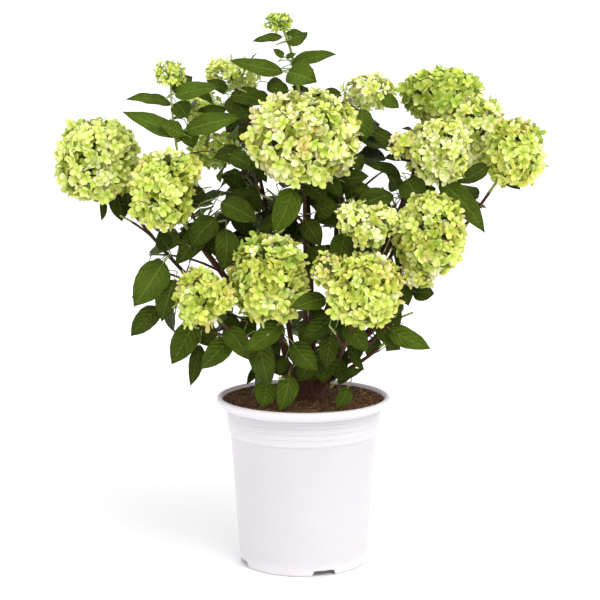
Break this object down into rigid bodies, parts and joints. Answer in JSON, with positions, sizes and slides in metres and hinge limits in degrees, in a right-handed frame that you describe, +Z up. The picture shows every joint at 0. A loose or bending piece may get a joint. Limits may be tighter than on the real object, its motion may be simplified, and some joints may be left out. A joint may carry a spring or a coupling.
{
  "type": "potted panicle hydrangea shrub",
  "caption": "Flowering panicle hydrangea shrub in a white nursery pot: branching woody stems, opposite ovate leaves and large rounded lime-green flower heads.",
  "frame": {"origin": "centre of the pot's flat underside, on the ground plane", "axes": "+Z up along the pot's axis; -Y is the shrub's show side; +X is to its right seen from the show side"},
  "size_m": [0.6213, 0.4339, 0.719],
  "materials": {
    "white_moulded_plastic": "satin moulded",
    "dark_potting_mix": "crumbly, moist",
    "red_brown_bark": "rough bark",
    "leaf_green": "leaves and flower heads"
  },
  "bodies": {
    "root": {"nursery_pot": "white_moulded_plastic", "potting_soil": "dark_potting_mix", "stem_base": "red_brown_bark", "bough_far_left": "red_brown_bark", "bough_left": "red_brown_bark", "bough_upper_left": "red_brown_bark", "bough_centre": "red_brown_bark", "bough_top": "red_brown_bark", "bough_upper_right": "red_brown_bark", "bough_far_upper_right": "red_brown_bark", "bough_right": "red_brown_bark", "bough_far_right": "red_brown_bark", "bough_low_right": "red_brown_bark", "bough_inner_right": "red_brown_bark", "bough_front": "red_brown_bark", "bough_front_right": "red_brown_bark", "bough_low_left": "red_brown_bark", "bough_back_left": "red_brown_bark", "bough_back": "red_brown_bark", "bough_back_right": "red_brown_bark", "bough_low_back_left": "red_brown_bark", "bough_low_back_right": "red_brown_bark", "bough_side_right": "red_brown_bark", "foliage_far_left": "leaf_green", "foliage_left": "leaf_green", "foliage_upper_left": "leaf_green", "foliage_centre": "leaf_green", "foliage_top": "leaf_green", "foliage_upper_right": "leaf_green", "foliage_far_upper_right": "leaf_green", "foliage_right": "leaf_green", "foliage_far_right": "leaf_green", "foliage_low_right": "leaf_green", "foliage_inner_right": "leaf_green", "foliage_front": "leaf_green", "foliage_front_right": "leaf_green", "foliage_low_left": "leaf_green", "foliage_back_left": "leaf_green", "foliage_back": "leaf_green", "foliage_back_right": "leaf_green", "foliage_low_back_left": "leaf_green", "foliage_low_back_right": "leaf_green", "foliage_side_right": "leaf_green", "foliage_front_skirt": "leaf_green", "foliage_left_skirt": "leaf_green", "foliage_right_skirt": "leaf_green", "foliage_back_skirt": "leaf_green"}
  },
  "joints": []
}
